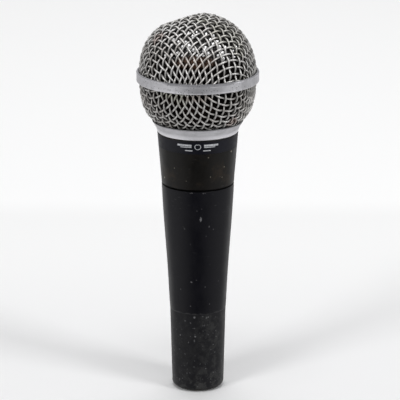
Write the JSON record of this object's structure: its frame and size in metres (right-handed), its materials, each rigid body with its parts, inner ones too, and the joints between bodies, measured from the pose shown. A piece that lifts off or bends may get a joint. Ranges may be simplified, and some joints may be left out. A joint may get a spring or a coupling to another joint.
{
  "type": "dynamic microphone",
  "caption": "Handheld dynamic vocal microphone: tapered handle, threaded head, ball grille of woven wire with an equator band, floating capsule inside.",
  "frame": {"origin": "centre of the tail's rest face, on the microphone's axis", "axes": "+Z along the axis from the tail to the ball grille; -Y is the front, the side with the name band's mark"},
  "size_m": [0.051, 0.051, 0.162],
  "materials": {
    "wire": "satin",
    "band": "satin",
    "foam": "matte",
    "head_enamel": "satin",
    "name_foil": "satin",
    "rubber": "matte",
    "brass": "satin",
    "capsule_metal": "satin",
    "cloth": "matte",
    "magnet_iron": "satin",
    "ferrite": "matte",
    "coil_wire": "gloss",
    "film": "gloss",
    "black_plastic": "matte",
    "felt": "matte",
    "board": "matte",
    "tinned": "satin",
    "handle_enamel": "satin",
    "gold_pin": "polished",
    "spring_steel": "satin",
    "screw_steel": "satin",
    "core_iron": "matte",
    "bobbin": "matte",
    "winding_tape": "satin",
    "mastic": "matte",
    "yellow_pvc": "satin",
    "green_pvc": "satin",
    "black_pvc": "satin",
    "red_pvc": "satin",
    "white_pvc": "satin"
  },
  "bodies": {
    "handle": {"handle_shell": "handle_enamel", "connector_insert": "black_plastic", "contact_pins": "gold_pin", "earth_spring": "spring_steel", "transformer_core": "core_iron", "transformer_bobbin": "bobbin", "transformer_winding": "winding_tape", "transformer_mastic": "mastic", "lead_yellow": "yellow_pvc", "lead_green": "green_pvc", "lead_earth": "black_pvc", "lead_hot": "red_pvc", "lead_cold": "white_pvc"},
    "locking_screw": {"locking_screw": "screw_steel"},
    "head": {"head_shell": "head_enamel", "name_band": "name_foil", "shock_mount": "rubber", "mount_ring_nut": "brass"},
    "grille": {"grille_dome_mesh": "wire", "grille_lower_mesh": "wire", "grille_band": "band", "grille_collar": "band", "foam_dome": "foam", "foam_sleeve": "foam"},
    "capsule": {"capsule_case": "capsule_metal", "entry_screen": "cloth", "magnet_yoke": "magnet_iron", "magnet": "ferrite", "pole_piece": "magnet_iron", "top_plate": "magnet_iron", "diaphragm_ring": "capsule_metal", "front_cap": "black_plastic", "front_screen": "cloth", "rear_chamber": "black_plastic", "damping_felt": "felt", "terminal_board": "board", "solder_lugs": "tinned"},
    "diaphragm": {"diaphragm": "film", "voice_coil": "coil_wire"}
  },
  "joints": [
    {"name": "head_lift", "type": "slide", "parent": "handle", "child": "head", "axis": [0, 0, 1], "range_m": [0, 0.035], "deforming": ["lead_yellow", "lead_green"]},
    {"name": "grille_lift", "type": "slide", "parent": "head", "child": "grille", "axis": [0, 0, 1], "range_m": [0, 0.04]},
    {"name": "capsule_float", "type": "slide", "parent": "head", "child": "capsule", "axis": [0, 0, 1], "range_m": [-0.0008, 0.0008], "stiffness_N_per_m": 4000},
    {"name": "diaphragm_stroke", "type": "slide", "parent": "capsule", "child": "diaphragm", "axis": [0, 0, 1], "range_m": [-0.0003, 0.0003], "stiffness_N_per_m": 30},
    {"name": "locking_screw_turn", "type": "hinge", "parent": "handle", "child": "locking_screw", "pos_m": [0, 0.008, 0.0185], "axis": [0, 1, 0], "range_deg": [-720, 0]}
  ]
}
